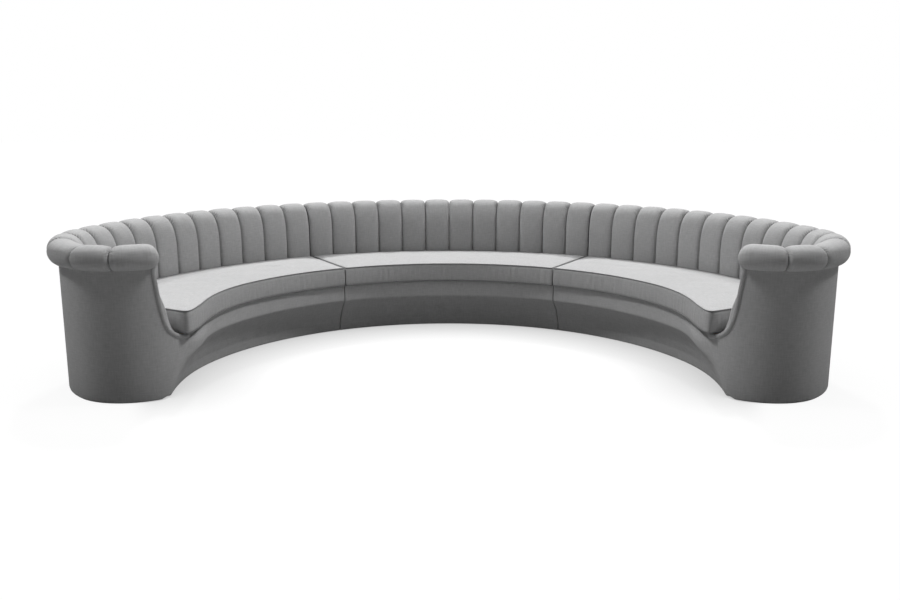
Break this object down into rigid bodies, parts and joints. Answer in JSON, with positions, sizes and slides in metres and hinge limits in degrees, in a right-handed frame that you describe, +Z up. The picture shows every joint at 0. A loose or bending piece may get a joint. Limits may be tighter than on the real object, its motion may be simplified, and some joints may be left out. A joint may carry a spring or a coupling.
{
  "type": "round sofa",
  "caption": "Round modular sofa with a channelled back that rolls over the top and curls round both arms, a coved plinth and loose boxed seat cushions.",
  "frame": {"origin": "centre of the footprint of the whole sofa, on the floor", "axes": "+X to the right as seen by someone facing the sofa, +Y towards the middle of the back, +Z up"},
  "size_m": [4.1516, 2.446, 0.786],
  "materials": {
    "upholstery": "plain woven fabric, matte",
    "piping": "woven fabric welt, matte",
    "seat_lining": "lining cloth, matte",
    "webbing": "woven strap, matte",
    "dust_cloth": "non-woven cloth, matte",
    "plywood": "bare plywood, unsealed",
    "connector_steel": "zinc-plated sheet",
    "glide_plastic": "moulded, matte"
  },
  "bodies": {
    "middle_module": {"middle_base_board": "plywood", "middle_ribs": "plywood", "middle_side_panels": "plywood", "middle_front_rail": "plywood", "middle_rear_rail": "plywood", "middle_back_panel": "plywood", "middle_top_rail": "plywood", "middle_webbing": "webbing", "middle_seat_pad": "seat_lining", "middle_back_channels": "upholstery", "middle_front_cover": "upholstery", "middle_outer_board": "plywood", "middle_outer_cover": "upholstery", "middle_dust_cover": "dust_cloth", "middle_glides": "glide_plastic", "middle_clip_sockets": "connector_steel"},
    "middle_cushion": {"middle_seat_cushion": "upholstery"},
    "right_module": {"right_base_board": "plywood", "right_ribs": "plywood", "right_side_panel": "plywood", "right_front_rail": "plywood", "right_rear_rail": "plywood", "right_back_panel": "plywood", "right_top_rail": "plywood", "right_webbing": "webbing", "right_seat_pad": "seat_lining", "right_back_channels": "upholstery", "right_front_cover": "upholstery", "right_outer_board": "plywood", "right_outer_cover": "upholstery", "right_dust_cover": "dust_cloth", "right_glides": "glide_plastic", "right_clip_tongues": "connector_steel", "right_arm_pad": "upholstery", "right_arm_bead": "piping"},
    "right_cushion": {"right_seat_cushion": "upholstery"},
    "left_module": {"left_base_board": "plywood", "left_ribs": "plywood", "left_side_panel": "plywood", "left_front_rail": "plywood", "left_rear_rail": "plywood", "left_back_panel": "plywood", "left_top_rail": "plywood", "left_webbing": "webbing", "left_seat_pad": "seat_lining", "left_back_channels": "upholstery", "left_front_cover": "upholstery", "left_outer_board": "plywood", "left_outer_cover": "upholstery", "left_dust_cover": "dust_cloth", "left_glides": "glide_plastic", "left_clip_tongues": "connector_steel", "left_arm_pad": "upholstery", "left_arm_bead": "piping"},
    "left_cushion": {"left_seat_cushion": "upholstery"}
  },
  "joints": [
    {"name": "right_module_slide", "type": "slide", "parent": "middle_module", "child": "right_module", "axis": [0.866, -0.5, 0], "range_m": [0, 0.3]},
    {"name": "left_module_slide", "type": "slide", "parent": "middle_module", "child": "left_module", "axis": [-0.866, -0.5, 0], "range_m": [0, 0.3]},
    {"name": "middle_cushion_lift", "type": "slide", "parent": "middle_module", "child": "middle_cushion", "axis": [0, 0, 1], "range_m": [0, 0.25]},
    {"name": "right_cushion_lift", "type": "slide", "parent": "right_module", "child": "right_cushion", "axis": [0, 0, 1], "range_m": [0, 0.25]},
    {"name": "left_cushion_lift", "type": "slide", "parent": "left_module", "child": "left_cushion", "axis": [0, 0, 1], "range_m": [0, 0.25]}
  ]
}
